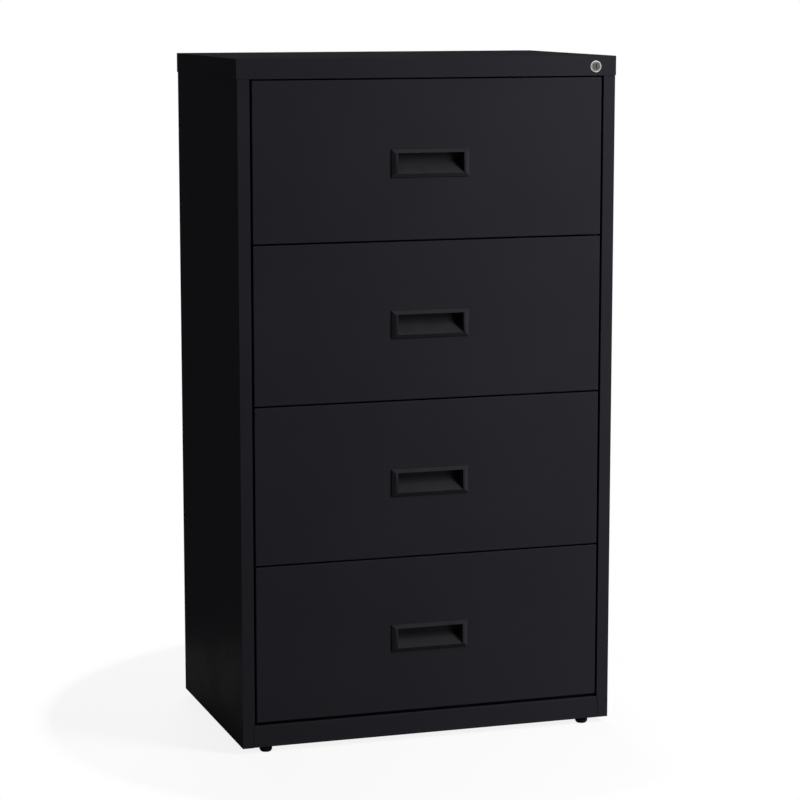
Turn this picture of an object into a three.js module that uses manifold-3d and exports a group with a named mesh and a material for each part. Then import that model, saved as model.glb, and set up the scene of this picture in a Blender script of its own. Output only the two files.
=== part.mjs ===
// A lateral filing cabinet with four wide drawers, built from folded sheet steel.
// Millimetres, +Z up, the drawers face -Y. The origin is on the floor, under the middle of the object.

import * as THREE from "three";
import { mergeVertices } from "three/addons/utils/BufferGeometryUtils.js";
import Module from "manifold-3d";

// Overall sizes. The height is the sum of what stands on each other.
const WIDTH = 762; // over the top cap
const CASE_DEPTH = 473; // face of the drawers to the outside of the back
const DRAWERS = 4;
const FRONT_HEIGHT = 305.5; // one drawer front
const FRONT_GAP = 3; // above each drawer front
const BASE_GAP = 6.5; // under the lowest drawer front
const BASE_HEIGHT = 43; // base rails
const GLIDE_HEIGHT = 12; // glides below the case
const APRON = 38; // folded edge of the top cap, at the front and the sides

// Sheet steel, and what is left between pieces.
const SHEET = 1;
const SEAT = 0.3; // between two pieces that rest on each other
const CAP_FIT = 0.8; // cap to side panel
const SEAM = 0.6; // butt seam between two sheets

// Case
const POST = 24; // width of a side panel's front edge
const POST_RETURN = 17; // depth of the fold behind it
const REAR_FLANGE = 24;
const CAP_REAR_FLANGE = 15;
const APRON_RETURN = 15; // stiffener behind the apron
const APRON_RETURN_RISE = 3; // above the apron's lower edge
const RAIL_FLANGE = 36; // base rails, front to back
const RAIL_END_GAP = 0.8; // front rail to post
const RAIL_STEP = 2; // how far the front rail reaches past the drawer opening
const RAIL_CHAMFER = 14; // height of the slanted upper corner of the front rail
const UPRIGHT_SETBACK = 32; // front uprights behind the drawer face
const UPRIGHT_WIDTH = 30;
const UPRIGHT_STEEL = 1.2;
const UPRIGHT_TOP_GAP = 42; // below the cap
const REAR_UPRIGHT_GAP = 30; // behind the rear uprights
const WEIGHT_WIDTH = 600;
const WEIGHT_DEPTH = 140;
const WEIGHT_THICKNESS = 12;

// Glides
const GLIDE_RADIUS = 12.5;
const GLIDE_FOOT_RADIUS = 10;
const GLIDE_CHAMFER = 3.5;
const GLIDE_STEM_RADIUS = 4;
const GLIDE_STEM = 30;
const GLIDE_INSET = 17; // from the outer face of its base rail
const GLIDE_FROM_SIDE = 50;
const GLIDE_NUT_RADIUS = 8;
const GLIDE_NUT = 7;
const ROUND_FIT = 0.3; // round piece in its hole, on the radius

// Drawers
const FRONT_SIDE_GAP = 4; // drawer front to post
const FRONT_DEPTH = 18; // folded edges of a drawer front
const FRONT_FLANGE = 26; // turned in behind them, against the tray
const TRAY_STEEL = 1;
const TRAY_LIFT = 12; // tray above the front's lower edge
const TRAY_HEIGHT = 240;
const TRAY_REAR_GAP = 20; // tray end to slide end
const FOLDER_EDGE = 10; // front wall above the top of the tray
const FOLDER_SPAN = 311; // front wall to hang rail
const HANG_RAIL_THICKNESS = 2.5;
const HANG_RAIL_DROP = 10; // below the top of the tray
const HANG_RAIL_RISE = 10; // above it
const HANG_RAIL_OVERHANG = 1; // past the outside of the tray

// Drawer pulls
const PULL_WIDTH = 156.6;
const PULL_HEIGHT = 53.4;
const PULL_PROUD = 7.5;
const PULL_BEVEL_SIDE = 7.5;
const PULL_BEVEL_RIM = 1.5; // square edge of the frame at the drawer front
const PULL_CORNER = 3;
const PULL_MOUTH_WIDTH = 133.4;
const PULL_MOUTH_HEIGHT = 39.5;
const PULL_CUP_DEPTH = 16.5; // behind the drawer face
const PULL_WALL = 1.5;
const PULL_LIP = 4; // thickness of the upper edge that fingers hold
const PULL_UNDERCUT = 3.5; // room for fingertips above that edge
const PULL_SLOPE_RISE = 22.5; // height of the slanted floor of the cup
const PULL_FIT = 1; // cup in the cutout of the drawer front
const PULL_DROP = 6; // below the middle of the drawer front

// Slides: three folded profiles, one inside the other
const SLIDE_STEEL = 1.2;
const SLIDE_HEIGHT = 46;
const SLIDE_RUN = 0.4; // between two profiles
const SLIDE_DEPTH = 12; // outer profile, from upright to drawer
const SLIDE_LIP = 3.2;
const SLIDE_SETBACK = 33; // behind the drawer face
const SLIDE_REAR_GAP = 20; // in front of the back
const SLIDE_LIFT = 82; // middle of the slide above the front's lower edge
const HAT_HEIGHT = 28; // raised part of the inner profile

// Lock
const LOCK_FROM_SIDE = 42.2;
const LOCK_FROM_TOP = 20.5;
const LOCK_FACE_RADIUS = 11.25;
const LOCK_FACE_PROUD = 2;
const LOCK_BODY_RADIUS = 9.3;
const LOCK_BODY = 22;
const PLUG_RADIUS = 6.5;
const PLUG_SET_IN = 0.8; // plug face behind the rim
const KEYWAY_WIDTH = 1.8;
const KEYWAY_HEIGHT = 8.5;
const KEYWAY_DEPTH = 8;
const CAM_THICKNESS = 2;
const CAM_THROW = 9; // lock axis to drive pin
const CAM_HUB_RADIUS = 7;
const CAM_TIP_RADIUS = 4;
const CAM_REST_DEG = 45; // drive pin above the horizontal, unlocked
const PIN_RADIUS = 2;
const PIN_FIT = 0.5;
const PIN_LENGTH = 5;
const BAR_STEEL = 2;
const BAR_INSET = 14.8; // lock bar from the post's inner edge
const BAR_FRONT_GAP = 6; // lock bar behind the drawer face
const BAR_HEAD_HEIGHT = 12;
const BAR_TAIL = 20; // below the lowest finger
const FINGER = 10; // height of a locking finger
const FINGER_DEPTH = 3;
const FINGER_FRONT = 20; // behind the drawer face
const CATCH_HEIGHT = 12; // tab of the tray that a finger stops
const CATCH_REACH = 12.5; // beside the tray
const CATCH_SETBACK = 26; // behind the drawer face
const CATCH_STEEL = 1.5;
const CATCH_RISE = 5.5; // above the top of the tray
const CATCH_CLEAR = 2; // under an unlocked finger
const CATCH_HOLD = 3; // how far a finger reaches over the tab

// Facets of round pieces
const ROUND = 24;
const ROUND_SMALL = 16;

// Levels and half widths that follow from the sizes above.
const baseTop = GLIDE_HEIGHT + BASE_HEIGHT;
const pitch = FRONT_HEIGHT + FRONT_GAP;
const apronBottom = baseTop + BASE_GAP + DRAWERS * pitch;
const height = apronBottom + APRON;
const halfCap = WIDTH / 2;
const halfCase = halfCap - SHEET - CAP_FIT;
const halfOpening = halfCase - POST;
const halfFront = halfOpening - FRONT_SIDE_GAP;
const halfInside = halfCase - SHEET - SEAT;
const backFace = CASE_DEPTH - SHEET;
const rearFlangeBack = backFace - SEAT;
const rearFlangeFront = rearFlangeBack - SHEET;
const panelTop = height - SHEET - SEAT;
const floorTop = baseTop + SEAT + SHEET;
const slideBack = CASE_DEPTH - SLIDE_REAR_GAP;
const slideWidth = SLIDE_DEPTH + SLIDE_RUN + SLIDE_STEEL;
const halfTray = halfFront - slideWidth - SEAT;
const trayFront = FRONT_DEPTH + SEAT;
const trayBack = slideBack - TRAY_REAR_GAP;
const trayTop = TRAY_LIFT + TRAY_HEIGHT;
const frontBottom = (drawer) => baseTop + BASE_GAP + (DRAWERS - drawer) * pitch;

const blackPaint = new THREE.MeshStandardMaterial({ color: 0x29292c, roughness: 0.42, metalness: 0.0 });
const blackPlastic = new THREE.MeshStandardMaterial({ color: 0x242427, roughness: 0.5, metalness: 0.0 });
const blackNylon = new THREE.MeshStandardMaterial({ color: 0x161617, roughness: 0.6, metalness: 0.0 });
const zincSteel = new THREE.MeshStandardMaterial({ color: 0xb4b8bc, roughness: 0.35, metalness: 1.0 });
const rawSteel = new THREE.MeshStandardMaterial({ color: 0x6d6e70, roughness: 0.6, metalness: 1.0 });
const nickel = new THREE.MeshStandardMaterial({ color: 0xd2d2ce, roughness: 0.2, metalness: 1.0 });

const wasm = await Module();
wasm.setup();

// A closed geometry as a solid that can be joined and cut.
function solid(geometry) {
  const bare = geometry.clone();
  bare.deleteAttribute("normal");
  bare.deleteAttribute("uv");
  const merged = mergeVertices(bare, 1e-4);
  return new wasm.Manifold(
    new wasm.Mesh({
      numProp: 3,
      vertProperties: new Float32Array(merged.attributes.position.array),
      triVerts: new Uint32Array(merged.index.array),
    }),
  );
}

// The geometry of a solid, for a mesh.
function geometryOf(made) {
  const mesh = made.getMesh();
  return new THREE.BufferGeometry()
    .setAttribute("position", new THREE.BufferAttribute(mesh.vertProperties, 3))
    .setIndex(new THREE.BufferAttribute(mesh.triVerts, 1));
}

const join = (...solids) => solids.reduce((sum, next) => sum.add(next));
const cut = (body, ...tools) => tools.reduce((rest, tool) => rest.subtract(tool), body);

// A block between two limits on each axis.
function block([x0, x1], [y0, y1], [z0, z1]) {
  const box = new THREE.BoxGeometry(x1 - x0, y1 - y0, z1 - z0);
  return solid(box.translate((x0 + x1) / 2, (y0 + y1) / 2, (z0 + z1) / 2));
}

// An outline pushed along an axis: points are (x, y) along z, (x, z) along y and (y, z) along x.
const ex = new THREE.Vector3(1, 0, 0);
const ey = new THREE.Vector3(0, 1, 0);
const ez = new THREE.Vector3(0, 0, 1);
function prism(outline, axis, [from, to], curveSegments = 4) {
  const shape = outline.isShape ? outline : new THREE.Shape(outline.map((p) => new THREE.Vector2(...p)));
  const pushed = new THREE.ExtrudeGeometry(shape, { depth: to - from, bevelEnabled: false, curveSegments });
  const turn = new THREE.Matrix4();
  if (axis === "x") turn.makeBasis(ey, ez, ex).setPosition(from, 0, 0);
  if (axis === "y") turn.makeBasis(ex, ez, ey.clone().negate()).setPosition(0, to, 0);
  if (axis === "z") turn.setPosition(0, 0, from);
  return solid(pushed.applyMatrix4(turn));
}

// A rod along y or z, through a point of the plane across it.
function rod(radius, axis, [a, b], [from, to], facets = ROUND_SMALL) {
  const made = new THREE.CylinderGeometry(radius, radius, to - from, facets);
  if (axis === "z") made.rotateX(Math.PI / 2).translate(a, b, (from + to) / 2);
  if (axis === "y") made.translate(a, (from + to) / 2, b);
  return solid(made);
}

const mirrored = (points) => points.map(([a, b]) => [a, -b]);

// Everything hangs in this group, whose y = 0 is the face of the drawers.
const cabinet = new THREE.Group();
cabinet.position.y = -(CASE_DEPTH + PULL_PROUD) / 2 + PULL_PROUD;

function add(name, shape, material, parent = cabinet, side = 1) {
  const mesh = new THREE.Mesh(shape.isBufferGeometry ? shape : geometryOf(shape), material);
  mesh.name = name;
  mesh.scale.x = side;
  parent.add(mesh);
}

// A piece made for the right-hand side, and its mirror image.
function addPair(name, shape, material, parent = cabinet) {
  const geometry = geometryOf(shape);
  add(`left_${name}`, geometry, material, parent, -1);
  add(`right_${name}`, geometry, material, parent, 1);
}

// Side panels: one sheet with a boxed post at the front and a flange at the back.
function sidePanel() {
  const section = [
    [halfCase, 0],
    [halfCase, rearFlangeBack],
    [halfCase - REAR_FLANGE, rearFlangeBack],
    [halfCase - REAR_FLANGE, rearFlangeFront],
    [halfCase - SHEET, rearFlangeFront],
    [halfCase - SHEET, SHEET],
    [halfOpening + SHEET, SHEET],
    [halfOpening + SHEET, POST_RETURN],
    [halfOpening, POST_RETURN],
    [halfOpening, 0],
  ];
  const sheet = prism(section, "z", [GLIDE_HEIGHT, panelTop]);
  const past = SHEET;
  const behindApron = block(
    [halfOpening - past, halfCase + past],
    [-past, POST_RETURN + past],
    [apronBottom - SEAM, panelTop + past],
  );
  const notchEdge = halfOpening + RAIL_STEP + RAIL_END_GAP;
  const railNotch = [
    [notchEdge, GLIDE_HEIGHT - past],
    [notchEdge, baseTop - RAIL_CHAMFER + SEAM],
    [halfOpening, baseTop + RAIL_STEP],
    [halfOpening - past, baseTop + RAIL_STEP],
    [halfOpening - past, GLIDE_HEIGHT - past],
  ];
  return cut(sheet, behindApron, prism(railNotch, "y", [-past, POST_RETURN + past]));
}
addPair("side_panel", sidePanel(), blackPaint);

// Back panel: lies on the rear flanges of the side panels, below the cap's rear flange.
const backTop = height - CAP_REAR_FLANGE - SEAM;
add(
  "back_panel",
  block([-halfCase, halfCase], [backFace, CASE_DEPTH], [GLIDE_HEIGHT, backTop]),
  blackPaint,
);

// Top cap: a lid folded down on all four sides, with a stiffening return behind the front apron.
const lockX = halfCap - LOCK_FROM_SIDE;
const lockZ = height - LOCK_FROM_TOP;
function topCap() {
  const lid = block([-halfCap, halfCap], [0, CASE_DEPTH], [apronBottom, height]);
  const inside = block(
    [SHEET - halfCap, halfCap - SHEET],
    [SHEET, backFace],
    [apronBottom - SHEET, height - SHEET],
  );
  const rearOpening = block(
    [-halfCase - CAP_FIT / 2, halfCase + CAP_FIT / 2],
    [backFace - SHEET, CASE_DEPTH + SHEET],
    [apronBottom - SHEET, height - CAP_REAR_FLANGE],
  );
  const stiffenerBottom = apronBottom + APRON_RETURN_RISE;
  const stiffener = block(
    [-halfOpening, halfOpening],
    [SHEET / 2, APRON_RETURN],
    [stiffenerBottom, stiffenerBottom + SHEET],
  );
  const lockHole = rod(LOCK_BODY_RADIUS + ROUND_FIT, "y", [lockX, lockZ], [-SHEET, 2 * SHEET], ROUND);
  return cut(join(cut(lid, inside, rearOpening), stiffener), lockHole);
}
add("top_cap", topCap(), blackPaint);

// Base rails: channels that close the case at the bottom and take the glides in welded nuts.
const glideX = halfCase - GLIDE_FROM_SIDE;
function baseRail(halfLength) {
  const bottom = GLIDE_HEIGHT;
  const channel = [
    [0, bottom],
    [RAIL_FLANGE, bottom],
    [RAIL_FLANGE, bottom + SHEET],
    [SHEET, bottom + SHEET],
    [SHEET, baseTop - SHEET],
    [RAIL_FLANGE, baseTop - SHEET],
    [RAIL_FLANGE, baseTop],
    [0, baseTop],
  ];
  let rail = prism(channel, "x", [-halfLength, halfLength]);
  for (const x of [-glideX, glideX]) {
    const nut = rod(GLIDE_NUT_RADIUS, "z", [x, GLIDE_INSET], [bottom, bottom + SHEET + GLIDE_NUT], 6);
    const thread = rod(
      GLIDE_STEM_RADIUS + ROUND_FIT,
      "z",
      [x, GLIDE_INSET],
      [bottom - SHEET, bottom + 2 * SHEET + GLIDE_NUT],
    );
    rail = cut(join(rail, nut), thread);
  }
  return rail;
}

// The front rail's upper corners are slanted where it passes the foot of each post.
function frontBaseRail() {
  const end = halfOpening + RAIL_STEP;
  const corner = [
    [end, baseTop - RAIL_CHAMFER],
    [end + SHEET, baseTop - RAIL_CHAMFER],
    [end + SHEET, baseTop + SHEET],
    [halfOpening - SEAT, baseTop + SHEET],
    [halfOpening - SEAT, baseTop],
  ];
  const across = [-SHEET, RAIL_FLANGE + SHEET];
  const otherCorner = corner.map(([x, z]) => [-x, z]);
  return cut(baseRail(end), prism(corner, "y", across), prism(otherCorner, "y", across));
}
add("front_base_rail", frontBaseRail(), blackPaint);

const rearRail = new THREE.Group();
rearRail.position.y = rearFlangeFront - SEAT;
rearRail.rotation.z = Math.PI;
cabinet.add(rearRail);
add("rear_base_rail", baseRail(halfInside), blackPaint, rearRail);

// Bottom panel on the rails, and the counterweight on its rear half.
const floorFront = POST_RETURN + SHEET;
const floorBack = rearFlangeFront - SEAT - SHEET;
add(
  "bottom_panel",
  block([-halfInside, halfInside], [floorFront, floorBack], [baseTop + SEAT, floorTop]),
  blackPaint,
);
const rearUprightBack = rearFlangeFront - REAR_UPRIGHT_GAP;
add(
  "counterweight",
  block(
    [-WEIGHT_WIDTH / 2, WEIGHT_WIDTH / 2],
    [rearUprightBack - WEIGHT_DEPTH, rearUprightBack],
    [floorTop + SEAT, floorTop + SEAT + WEIGHT_THICKNESS],
  ),
  rawSteel,
);

// Uprights: channels on the side panels that carry the drawer slides.
function upright(front) {
  const back = front + UPRIGHT_WIDTH;
  const inner = halfFront + SEAT;
  const section = [
    [inner, front],
    [halfInside, front],
    [halfInside, front + UPRIGHT_STEEL],
    [inner + UPRIGHT_STEEL, front + UPRIGHT_STEEL],
    [inner + UPRIGHT_STEEL, back - UPRIGHT_STEEL],
    [halfInside, back - UPRIGHT_STEEL],
    [halfInside, back],
    [inner, back],
  ];
  return prism(section, "z", [floorTop + SEAT, height - UPRIGHT_TOP_GAP]);
}
addPair("front_upright", upright(UPRIGHT_SETBACK), zincSteel);
addPair("rear_upright", upright(rearUprightBack - UPRIGHT_WIDTH), zincSteel);

// Glides: a tapered foot on a threaded stem, screwed right in.
function glide() {
  const footTop = GLIDE_HEIGHT - SEAT;
  const outline = [
    [0, 0],
    [GLIDE_FOOT_RADIUS, 0],
    [GLIDE_RADIUS, GLIDE_CHAMFER],
    [GLIDE_RADIUS, footTop],
    [GLIDE_STEM_RADIUS, footTop],
    [GLIDE_STEM_RADIUS, footTop + GLIDE_STEM],
    [0, footTop + GLIDE_STEM],
  ];
  const turned = new THREE.LatheGeometry(outline.map((p) => new THREE.Vector2(...p)), ROUND_SMALL);
  return solid(turned.rotateX(Math.PI / 2));
}
const rearGlideY = rearFlangeFront - SEAT - GLIDE_INSET;
for (const [place, x, y] of [
  ["front_left", -glideX, GLIDE_INSET],
  ["front_right", glideX, GLIDE_INSET],
  ["rear_left", -glideX, rearGlideY],
  ["rear_right", glideX, rearGlideY],
]) {
  add(`${place}_glide`, glide().translate([x, y, 0]), blackNylon);
}

// Lock: a barrel through the apron, a plug that turns in it and a cam whose pin moves the lock bar.
const lock = new THREE.Group();
lock.position.set(lockX, 0, lockZ);
cabinet.add(lock);

// A round piece about the lock's axis: points are (radius, y).
function turnedOnLock(outline) {
  const turned = new THREE.LatheGeometry(outline.map((p) => new THREE.Vector2(...p)), ROUND);
  return solid(turned);
}
const boreRadius = PLUG_RADIUS + ROUND_FIT;
add(
  "lock_barrel",
  turnedOnLock([
    [boreRadius, -LOCK_FACE_PROUD],
    [LOCK_FACE_RADIUS, -LOCK_FACE_PROUD],
    [LOCK_FACE_RADIUS, -SEAT],
    [LOCK_BODY_RADIUS, -SEAT],
    [LOCK_BODY_RADIUS, LOCK_BODY],
    [boreRadius, LOCK_BODY],
    [boreRadius, -LOCK_FACE_PROUD],
  ]),
  nickel,
  lock,
);
const plugFace = PLUG_SET_IN - LOCK_FACE_PROUD;
const plugBack = LOCK_BODY + SHEET;
const plugBody = turnedOnLock([
  [0, plugFace],
  [PLUG_RADIUS, plugFace],
  [PLUG_RADIUS, plugBack],
  [0, plugBack],
]);
const keyway = block(
  [-KEYWAY_WIDTH / 2, KEYWAY_WIDTH / 2],
  [plugFace - SHEET, plugFace + KEYWAY_DEPTH],
  [-KEYWAY_HEIGHT / 2, KEYWAY_HEIGHT / 2],
);
add("lock_plug", cut(plugBody, keyway), nickel, lock);

const pinAngle = THREE.MathUtils.degToRad(CAM_REST_DEG);
const pinX = CAM_THROW * Math.cos(pinAngle);
const pinZ = CAM_THROW * Math.sin(pinAngle);
const camFront = plugBack + SEAT;
const camBack = camFront + CAM_THICKNESS;
function lockCam() {
  const hub = rod(CAM_HUB_RADIUS, "y", [0, 0], [camFront, camBack]);
  const tip = rod(CAM_TIP_RADIUS, "y", [pinX, pinZ], [camFront, camBack]);
  const pin = rod(PIN_RADIUS, "y", [pinX, pinZ], [camFront, camBack + PIN_LENGTH]);
  return join(hub, tip, pin);
}
add("lock_cam", lockCam(), zincSteel, lock);

// Lock bar: a strip inside the right-hand post, with a slotted head for the pin and a finger for each
// drawer.
const catchTop = trayTop + CATCH_RISE;
const fingerBottom = catchTop + CATCH_CLEAR;
function lockBar() {
  const inner = halfOpening + BAR_INSET;
  const outer = inner + BAR_STEEL;
  const middle = inner + BAR_STEEL / 2;
  const headTop = lockZ + pinZ + BAR_HEAD_HEIGHT / 2;
  const headFront = camBack + CAM_THICKNESS / 2;
  const strip = block(
    [inner, outer],
    [BAR_FRONT_GAP, UPRIGHT_SETBACK - SLIDE_RUN],
    [frontBottom(DRAWERS) + fingerBottom - BAR_TAIL, headTop + BAR_STEEL],
  );
  const pinReach = PIN_RADIUS + PIN_FIT;
  const slotX = [lockX + pinX - pinReach, lockX + CAM_THROW + pinReach];
  const slotZ = [lockZ + pinZ - pinReach, lockZ + pinZ + pinReach];
  const headY = [headFront, headFront + BAR_STEEL];
  const head = block([slotX[0] - BAR_STEEL, middle], headY, [headTop - BAR_HEAD_HEIGHT, headTop]);
  const slot = block(slotX, [headY[0] - SHEET, headY[1] + SHEET], slotZ);
  const fingerX = [halfTray + CATCH_REACH - CATCH_HOLD, middle];
  const fingerY = [FINGER_FRONT, FINGER_FRONT + FINGER_DEPTH];
  const fingers = [];
  for (let drawer = 1; drawer <= DRAWERS; drawer++) {
    const bottom = frontBottom(drawer) + fingerBottom;
    fingers.push(block(fingerX, fingerY, [bottom, bottom + FINGER]));
  }
  return cut(join(strip, head, ...fingers), slot);
}
add("lock_bar", lockBar(), zincSteel);

// Drawer front: a shallow pan with a cutout for the pull.
const pullZ = FRONT_HEIGHT / 2 - PULL_DROP;
const halfCup = PULL_MOUTH_WIDTH / 2 + PULL_WALL;
const cupTop = PULL_MOUTH_HEIGHT / 2 + PULL_UNDERCUT + PULL_WALL;
const cupBottom = -PULL_MOUTH_HEIGHT / 2 - PULL_WALL;
function drawerFront() {
  const pan = cut(
    block([-halfFront, halfFront], [0, FRONT_DEPTH], [0, FRONT_HEIGHT]),
    block(
      [SHEET - halfFront, halfFront - SHEET],
      [SHEET, FRONT_DEPTH - SHEET],
      [SHEET, FRONT_HEIGHT - SHEET],
    ),
    block(
      [FRONT_FLANGE - halfFront, halfFront - FRONT_FLANGE],
      [FRONT_DEPTH - 2 * SHEET, FRONT_DEPTH + SHEET],
      [FRONT_FLANGE, FRONT_HEIGHT - FRONT_FLANGE],
    ),
  );
  const pullHole = block(
    [-halfCup - PULL_FIT, halfCup + PULL_FIT],
    [-SHEET, 2 * SHEET],
    [pullZ + cupBottom - PULL_FIT, pullZ + cupTop + PULL_FIT],
  );
  return cut(pan, pullHole);
}

// Pull: a bevelled frame on the drawer face, and a cup behind it whose floor slants up to the back.
function roundedRectangle(width, tall, radius) {
  const x = width / 2;
  const z = tall / 2;
  return new THREE.Shape()
    .moveTo(radius - x, -z)
    .lineTo(x - radius, -z)
    .absarc(x - radius, radius - z, radius, -Math.PI / 2, 0)
    .lineTo(x, z - radius)
    .absarc(x - radius, z - radius, radius, 0, Math.PI / 2)
    .lineTo(radius - x, z)
    .absarc(radius - x, z - radius, radius, Math.PI / 2, Math.PI)
    .lineTo(-x, radius - z)
    .absarc(radius - x, radius - z, radius, Math.PI, Math.PI * 1.5);
}
function pull() {
  const bevel = PULL_BEVEL_SIDE;
  const face = roundedRectangle(PULL_WIDTH - 2 * bevel, PULL_HEIGHT - 2 * bevel, PULL_CORNER);
  const rim = PULL_BEVEL_RIM + SEAT;
  const frame = new THREE.ExtrudeGeometry(face, {
    depth: 2 * rim,
    curveSegments: 3,
    bevelSize: bevel,
    bevelThickness: PULL_PROUD - rim,
    bevelSegments: 1,
  });
  frame.translate(0, 0, -rim).rotateX(Math.PI / 2);
  const behindFace = block([-PULL_WIDTH, PULL_WIDTH], [-SEAT, PULL_WIDTH], [-PULL_WIDTH, PULL_WIDTH]);
  const mouthTop = PULL_MOUTH_HEIGHT / 2;
  const cupBack = PULL_CUP_DEPTH - PULL_WALL;
  const slopeTop = PULL_SLOPE_RISE - mouthTop;
  const slope = PULL_SLOPE_RISE / (cupBack + PULL_PROUD);
  const cupFront = -PULL_BEVEL_RIM;
  const cup = [
    [cupFront, cupBottom],
    [0, cupBottom],
    [PULL_CUP_DEPTH, slopeTop - PULL_WALL],
    [PULL_CUP_DEPTH, cupTop],
    [cupFront, cupTop],
  ];
  const ahead = -2 * PULL_PROUD;
  const hollow = [
    [ahead, -mouthTop - slope * PULL_PROUD],
    [cupBack, slopeTop],
    [cupBack, mouthTop + PULL_UNDERCUT],
    [PULL_LIP - PULL_PROUD, mouthTop + PULL_UNDERCUT],
    [PULL_LIP - PULL_PROUD, mouthTop],
    [ahead, mouthTop],
  ];
  const halfMouth = PULL_MOUTH_WIDTH / 2;
  const body = join(cut(solid(frame), behindFace), prism(cup, "x", [-halfCup, halfCup]));
  return cut(body, prism(hollow, "x", [-halfMouth, halfMouth]));
}

// Tray: an open box. Its front wall stands higher, as the front edge that folders hang on, and a tab on
// its right-hand side is what the lock bar catches.
function tray() {
  const box = cut(
    block([-halfTray, halfTray], [trayFront, trayBack], [TRAY_LIFT, trayTop + FOLDER_EDGE]),
    block(
      [TRAY_STEEL - halfTray, halfTray - TRAY_STEEL],
      [trayFront + TRAY_STEEL, trayBack - TRAY_STEEL],
      [TRAY_LIFT + TRAY_STEEL, trayTop + FOLDER_EDGE + TRAY_STEEL],
    ),
    block(
      [-halfTray - TRAY_STEEL, halfTray + TRAY_STEEL],
      [trayFront + TRAY_STEEL, trayBack + TRAY_STEEL],
      [trayTop, trayTop + FOLDER_EDGE + TRAY_STEEL],
    ),
  );
  const catchTab = block(
    [halfTray - TRAY_STEEL / 2, halfTray + CATCH_REACH],
    [CATCH_SETBACK, CATCH_SETBACK + CATCH_STEEL],
    [catchTop - CATCH_HEIGHT, catchTop],
  );
  return join(box, catchTab);
}

// Hang rail: a bar across the tray that rests on its side walls.
function hangRail() {
  const between = halfTray - TRAY_STEEL - SEAT;
  const over = halfTray + HANG_RAIL_OVERHANG;
  const seat = trayTop + SEAT;
  const bottom = trayTop - HANG_RAIL_DROP;
  const top = trayTop + HANG_RAIL_RISE;
  const outline = [
    [-between, bottom],
    [between, bottom],
    [between, seat],
    [over, seat],
    [over, top],
    [-over, top],
    [-over, seat],
    [-between, seat],
  ];
  const front = trayFront + TRAY_STEEL + FOLDER_SPAN;
  return prism(outline, "y", [front, front + HANG_RAIL_THICKNESS]);
}

// Slide profiles: points are (distance from the upright, height above the middle), upper half only.
const slideTop = SLIDE_HEIGHT / 2;
function channelProfile(back, front, top) {
  return [
    [back, top],
    [front, top],
    [front, top - SLIDE_STEEL - SLIDE_LIP],
    [front - SLIDE_STEEL, top - SLIDE_STEEL - SLIDE_LIP],
    [front - SLIDE_STEEL, top - SLIDE_STEEL],
    [back + SLIDE_STEEL, top - SLIDE_STEEL],
  ];
}
const step = SLIDE_STEEL + SLIDE_RUN;
const outerProfile = channelProfile(0, SLIDE_DEPTH, slideTop);
const middleProfile = channelProfile(step, SLIDE_DEPTH - step, slideTop - step);

// A slide member on the right-hand side: an upper half profile and its mirror image, closed at the middle.
function slideMember(upperHalf) {
  const lowerHalf = mirrored(upperHalf).reverse();
  const outline = [...upperHalf, ...lowerHalf].map(([out, z]) => [halfFront - out, z + SLIDE_LIFT]);
  return prism(outline, "y", [SLIDE_SETBACK, slideBack]);
}

// The inner profile is a hat: its crown is fixed to the tray and its brims run inside the middle member.
function innerMember() {
  const back = 2 * step;
  const front = slideWidth;
  const brim = slideTop - 2 * step;
  const crown = HAT_HEIGHT / 2;
  const upperHalf = [
    [front, crown],
    [back + SLIDE_STEEL, crown],
    [back + SLIDE_STEEL, brim],
    [back, brim],
    [back, crown - SLIDE_STEEL],
    [front - SLIDE_STEEL, crown - SLIDE_STEEL],
  ];
  return slideMember(upperHalf);
}

const frontShape = geometryOf(drawerFront());
const pullShape = geometryOf(pull());
const trayShape = geometryOf(tray());
const hangRailShape = geometryOf(hangRail());
const outerShape = geometryOf(slideMember(outerProfile));
const middleShape = geometryOf(slideMember(middleProfile));
const innerShape = geometryOf(innerMember());

for (let drawer = 1; drawer <= DRAWERS; drawer++) {
  const place = new THREE.Group();
  place.position.z = frontBottom(drawer);
  cabinet.add(place);
  const pullPlace = new THREE.Group();
  pullPlace.position.z = pullZ;
  place.add(pullPlace);
  add(`drawer_${drawer}_front`, frontShape, blackPaint, place);
  add(`drawer_${drawer}_pull`, pullShape, blackPlastic, pullPlace);
  add(`drawer_${drawer}_tray`, trayShape, blackPaint, place);
  add(`drawer_${drawer}_hang_rail`, hangRailShape, zincSteel, place);
  for (const [word, side] of [
    ["left", -1],
    ["right", 1],
  ]) {
    add(`drawer_${drawer}_${word}_slide_outer`, outerShape, zincSteel, place, side);
    add(`drawer_${drawer}_${word}_slide_middle`, middleShape, zincSteel, place, side);
    add(`drawer_${drawer}_${word}_slide_inner`, innerShape, zincSteel, place, side);
  }
}

export default cabinet;
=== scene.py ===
import math

import bmesh
import bpy
from mathutils import Matrix, Vector


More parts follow.
